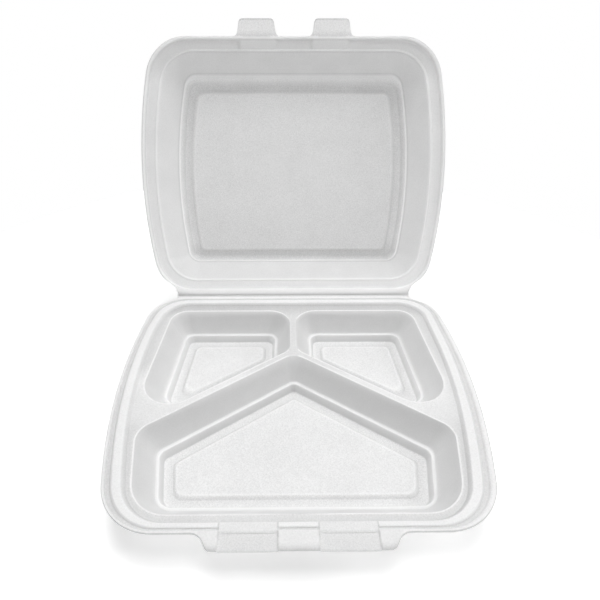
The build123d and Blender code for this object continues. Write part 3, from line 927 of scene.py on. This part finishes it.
class MEALBOX_OT_lid(bpy.types.Operator):
    """Build the lid with its beaded rim, dish and lock tabs"""

    bl_idname = "mealbox.lid"
    bl_label = "Build lid"

    def execute(self, context):
        sizes, fold = context.scene.mealbox_lid, context.scene.mealbox_fold
        channel = LIP_LEVEL - 2.2 * MM
        channel_inset = 9.7 * MM
        brim = channel + 0.6 * MM
        shoulder = brim - 18 * MM
        floor = shoulder - 6 * MM
        panel = floor + 2 * MM
        root_in, root_out = both_sides(sizes.tab_half, sizes.tab_root_half)
        tip_in, tip_out = both_sides(sizes.tab_half, sizes.tab_tip_half)
        fan = 4.5 * MM
        stops = (FRONT_START, root_out + fan, tip_out - fan, tip_in + fan, root_in - fan, 0)
        counts = (TAB_COLUMNS, FAN_COLUMNS, TAB_COLUMNS, FAN_COLUMNS, MIDDLE_COLUMNS)
        columns = [FRONT_START]
        for near, far, count in zip(stops, stops[1:], counts):
            columns += spread(near, far, count)[1:]

        # The rim's corners give way to the dish's tighter ones
        def radii(front, rear, inset):
            return front - sizes.corner_share * inset, rear - sizes.corner_share * inset

        rim_radii = (sizes.front_radius, sizes.rear_radius)
        dish_radii = (sizes.dish_front_radius, sizes.dish_rear_radius)
        table = [
            (inset * MM, (*radii(*start, inset * MM), setback * MM))
            for inset, start, setback in (
                (0, rim_radii, 0), (11.4, rim_radii, 0), (25, dish_radii, 0.4), (26.2, dish_radii, 2.8),
                (29, dish_radii, 3.8), (34.2, dish_radii, 4), (38.2, dish_radii, 4),
            )
        ]

        def half(inset):
            return half_loop(sizes, inset, *along(table, inset), columns)

        edge = half(0)
        outline = trimmed_outline(edge, sizes, fold.gap, LID_NOTCH_COLUMNS)
        tip = sizes.depth + sizes.tab_length
        first = len(edge) - len(columns) + TAB_COLUMNS - 1
        second = first + FAN_COLUMNS + TAB_COLUMNS - 2
        fillets = (0, sizes.tab_root_fillet, sizes.tab_tip_fillet, 0)
        for start, root, point, way in ((first, root_out, tip_out, -1), (second, root_in, tip_in, 1)):
            path = [
                (root - way * fan, sizes.depth), (root, sizes.depth),
                (point, tip), (point + way * fan, tip),
            ]
            placed = evenly(rounded(path, fillets, CORNER_STEPS * 4), FAN_COLUMNS)
            outline[start : start + FAN_COLUMNS] = placed if way < 0 else placed[::-1]
        for place in range(first + FAN_COLUMNS - 1, second + 1):
            outline[place] = Vector((edge[place].x, tip))

        # The section, from the raised floor panel out to the bead
        section = section_path([
            (38.2 * MM, panel, 0), (36.9 * MM, panel, 1.3), (34.2 * MM, floor, 1.2), (29 * MM, floor, 1.6),
            (26.2 * MM, shoulder, 1.0), (25 * MM, shoulder, 1.0),
            (23.8 * MM, mix(shoulder, brim, 1.2 / 13.6), 0),
            (12.5 * MM, mix(shoulder, brim, 12.5 / 13.6), 0),
            (11.4 * MM, brim, 1.0), (10.4 * MM, brim, 0.4),
            (channel_inset, channel, 0.6), (3.2 * MM, channel, 1.4),
            (sizes.bead, LIP_LEVEL, 1.0), (sizes.bead - 0.4 * MM, LIP_LEVEL, 0),
        ])
        ramp_rear = sizes.depth - sizes.front_share * channel_inset
        ramp_front = sizes.depth - sizes.front_share * sizes.bead / 2

        def ramp_level(point, level):
            off = abs(abs(point.x) - sizes.latch_half)
            part = 1 - smooth_step(sizes.ramp_half - 2 * MM, sizes.ramp_half + 0.4 * MM, off)
            if part == 0 or point.y < ramp_rear:
                return level
            rise = min((point.y - ramp_rear) / (ramp_front - ramp_rear), 1)
            return mix(level, max(level, mix(channel, LIP_LEVEL, rise)), part)

        loops = [
            [Vector((*point, ramp_level(point, level))) for point in half(inset)]
            for inset, level in section
        ]
        outer_loops, falls = edge_loops(
            half(section[-1][0]), outline, lambda place, x: LIP_LEVEL, sizes.edge_radius, fold.gap
        )
        bm, rings, grain, painted_shading = new_shell(loops + outer_loops)
        bmesh.ops.contextual_create(bm, geom=ring_edges(bm, rings[0]))

        # Painted light and shade on the lid: painted shade at the tabs' roots, on the ring's rear, on the
        # walls' rear and front, on the brim's front and beside the ramps, and the panel painted lighter
        # towards its front
        def lid_painted_shade(place, inset):
            y = place.y
            if y > sizes.depth and inset > 0.2 * MM:
                return mix(-0.6, 0.6, fade(TAB_ROOT, y - sizes.depth))
            shade = painted_shade_at(LID_PAINTED_SHADE, inset)
            if inset > 34 * MM:
                return shade + PANEL_PAINTED_LIGHT_RISE * (y - PANEL_PAINTED_LIGHT_EVEN)
            if inset > 26 * MM:
                return shade - 0.8 * (1 - fade(LID_RING_REAR, y))
            if inset > 12 * MM:
                return shade - 0.4 * (1 - fade(LID_WALL_REAR, y)) - 0.3 * fade(LID_WALL_FRONT, y)
            if inset > 2 * MM:
                off = abs(abs(place.x) - sizes.latch_half)
                darker = mix(0.8, 0.3, fade(RAMP_SIDE, off - sizes.ramp_half))
                return shade - (1.3 if inset > 9 * MM else darker) * fade(LID_BRIM_FRONT, y)
            return shade

        insets = [inset for inset, level in section]
        insets += [sizes.bead * (1 - part) for part in EDGE_SHARES]
        # Grain and painted light and shade for every lid vertex
        for ring, inset in zip(rings, insets):
            for vert in ring:
                on_tab = vert.co.y > sizes.depth
                vert[grain] = 1.0 if inset > 26 * MM or on_tab else 0.2
                vert[painted_shading] = lid_painted_shade(vert.co, inset)
        drop_of = sheet_drops(bm, sizes, fold, rings, falls)
        add_underside(bm, drop_of, [ring_edges(bm, rings[-1])])

        piece = finished_piece(bm, "lid_shell", Matrix.Rotation(pi / 2 - sizes.lean, 4, "X"))
        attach(piece, "lid")
        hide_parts("lid")
        return {"FINISHED"}


class MEALBOX_OT_fold(bpy.types.Operator):
    """Build the pressed crease that joins the tray to the lid"""

    bl_idname = "mealbox.fold"
    bl_label = "Build fold"

    def execute(self, context):
        sizes, fold = context.scene.mealbox_lid, context.scene.mealbox_fold
        opening = pi / 2 + sizes.lean
        inner = -0.26 * MM
        outer = inner - fold.web + 0.12 * MM
        turn = pi - opening
        path = [Vector((-fold.cover, level)) for level in (outer, inner)]
        path.append(Vector((-fold.gap, inner)))

        def on_lid(along_lid, level):
            way = Vector((-cos(opening), sin(opening)))
            out = Vector((sin(opening), cos(opening)))
            return way * along_lid - out * level

        path.append(on_lid(fold.gap, inner))
        path += [on_lid(fold.cover, level) for level in (inner, outer)]
        for step in range(FOLD_STEPS + 1):
            angle = mix(turn, 0, step / FOLD_STEPS)
            path.append(Vector((sin(angle), -cos(angle))) * -outer)
        bm = bmesh.new()
        ring = [bm.verts.new((-sizes.fold_half, point.x, point.y)) for point in path]
        face = bm.faces.new(ring)
        made = bmesh.ops.extrude_face_region(bm, geom=[face])["geom"]
        moved = [part for part in made if isinstance(part, bmesh.types.BMVert)]
        bmesh.ops.translate(bm, verts=moved, vec=(sizes.fold_half * 2, 0, 0))
        grain = bm.verts.layers.float.new("grain")
        for vert in bm.verts:
            vert[grain] = 0.1
        piece = finished_piece(bm, "fold_crease", Matrix.Identity(4))
        before = HINGE + Vector((0, -0.5 * MM, 0))
        lid_way = Vector((0, -cos(opening), sin(opening)))
        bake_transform(piece, "base", "lid", start=before, end=HINGE + lid_way * (0.5 * MM))
        return {"FINISHED"}


# Studio


def seen_rays(tree):
    """1 for a ray that shows the surroundings, or their image in a shiny or clear surface."""
    rays = tree.nodes.new("ShaderNodeLightPath")
    seen = rays.outputs["Is Camera Ray"]
    for name in ("Is Glossy Ray", "Is Transmission Ray"):
        either = tree.nodes.new("ShaderNodeMath")
        either.operation = "MAXIMUM"
        tree.links.new(seen, either.inputs[0])
        tree.links.new(rays.outputs[name], either.inputs[1])
        seen = either.outputs["Value"]
    return seen


class MEALBOX_OT_stage(bpy.types.Operator):
    """Build the floor, the light and the camera"""

    bl_idname = "mealbox.stage"
    bl_label = "Build studio"

    def execute(self, context):
        look = context.scene.mealbox_studio
        self.floor(look)
        self.light(context, look)
        self.camera(context, look)
        context.scene.view_settings.view_transform = "Standard"
        return {"FINISHED"}

    def floor(self, look):
        bm = bmesh.new()
        bmesh.ops.create_circle(bm, cap_ends=True, segments=FLOOR_SEGMENTS, radius=FLOOR_RADIUS)
        bmesh.ops.translate(bm, verts=bm.verts, vec=(0, 0, -FLOOR_DROP))
        mesh = mesh_from(bm, "floor")
        floor = new_object("floor", mesh)
        material = bpy.data.materials.new("studio floor")
        material.use_nodes = True
        nodes, links = material.node_tree.nodes, material.node_tree.links
        shader = nodes["Principled BSDF"]
        shader.inputs["Base Color"].default_value = (*look.floor_colour, 1)
        shader.inputs["Roughness"].default_value = 0.35
        shader.inputs["Specular IOR Level"].default_value = 0.3
        seen = nodes.new("ShaderNodeBsdfDiffuse")
        seen.inputs["Color"].default_value = (look.lift, look.lift, look.lift, 1)
        glow = nodes.new("ShaderNodeEmission")
        glow.inputs["Strength"].default_value = look.glow
        both = nodes.new("ShaderNodeAddShader")
        links.new(seen.outputs["BSDF"], both.inputs[0])
        links.new(glow.outputs["Emission"], both.inputs[1])
        pick = nodes.new("ShaderNodeMixShader")
        links.new(seen_rays(material.node_tree), pick.inputs["Fac"])
        links.new(shader.outputs["BSDF"], pick.inputs[1])
        links.new(both.outputs["Shader"], pick.inputs[2])
        links.new(pick.outputs["Shader"], nodes["Material Output"].inputs["Surface"])
        mesh.materials.append(material)

    def light(self, context, look):
        world = bpy.data.worlds.new("studio")
        context.scene.world = world
        world.use_nodes = True
        nodes, links = world.node_tree.nodes, world.node_tree.links
        even = nodes["Background"]
        even.inputs["Color"].default_value = (1, 1, 1, 1)
        even.inputs["Strength"].default_value = look.ambient
        backdrop = nodes.new("ShaderNodeBackground")
        backdrop.inputs["Color"].default_value = (1, 1, 1, 1)
        blend = nodes.new("ShaderNodeMixShader")
        links.new(seen_rays(world.node_tree), blend.inputs["Fac"])
        links.new(even.outputs["Background"], blend.inputs[1])
        links.new(backdrop.outputs["Background"], blend.inputs[2])
        links.new(blend.outputs["Shader"], nodes["World Output"].inputs["Surface"])
        for name, place, (width, height), power in LAMPS:
            data = bpy.data.lights.new(name, "AREA")
            data.shape = "RECTANGLE"
            data.size, data.size_y = width, height
            data.energy = power * look.level
            lamp = new_object(name, data)
            lamp.location = place
            aim = LAMP_AIM - lamp.location
            lamp.rotation_euler = aim.to_track_quat("-Z", "Y").to_euler()

    def camera(self, context, look):
        data = bpy.data.cameras.new("camera")
        data.lens = look.focal
        data.sensor_width = SENSOR_WIDTH
        data.shift_x, data.shift_y = look.shift
        camera = new_object("camera", data)
        turn = Matrix.Rotation(-look.yaw, 3, "Z")
        right = turn @ Vector((1, 0, 0))
        up = turn @ Vector((0, sin(look.pitch), cos(look.pitch)))
        ahead = turn @ Vector((0, cos(look.pitch), -sin(look.pitch)))
        place = HINGE - right * look.offset[0] - up * look.offset[1] - ahead * look.distance
        across = right * cos(look.roll) + up * sin(look.roll)
        above = up * cos(look.roll) - right * sin(look.roll)
        axes = Matrix((across, above, -ahead)).transposed().to_4x4()
        camera.matrix_world = Matrix.Translation(place) @ axes
        context.scene.camera = camera


class MEALBOX_PT_panel(bpy.types.Panel):
    """The meal box's sizes and the buttons that build it"""

    bl_idname = "MEALBOX_PT_panel"
    bl_label = "Foam Meal Box"
    bl_space_type = "VIEW_3D"
    bl_region_type = "UI"
    bl_category = "Meal Box"

    def draw(self, context):
        for operator in OPERATORS:
            self.layout.operator(operator.bl_idname)
        for name in SETTINGS:
            group = getattr(context.scene, name)
            box = self.layout.box()
            for prop in group.bl_rna.properties:
                if prop.identifier not in ("rna_type", "name"):
                    box.prop(group, prop.identifier)


OPERATORS = (MEALBOX_OT_tray, MEALBOX_OT_lid, MEALBOX_OT_fold, MEALBOX_OT_stage)
SETTINGS = {
    "mealbox_tray": TraySizes,
    "mealbox_lid": LidSizes,
    "mealbox_fold": FoldSizes,
    "mealbox_foam": FoamLook,
    "mealbox_studio": StudioLook,
}
CLASSES = (*SETTINGS.values(), *OPERATORS, MEALBOX_PT_panel)


def register():
    for made in CLASSES:
        bpy.utils.register_class(made)
    for name, group in SETTINGS.items():
        setattr(bpy.types.Scene, name, PointerProperty(type=group))


def unregister():
    for name in SETTINGS:
        delattr(bpy.types.Scene, name)
    for made in reversed(CLASSES):
        bpy.utils.unregister_class(made)


def main():
    register()
    bpy.ops.mealbox.tray()
    bpy.ops.mealbox.lid()
    bpy.ops.mealbox.fold()
    bpy.ops.mealbox.stage()


if __name__ == "__main__":
    main()
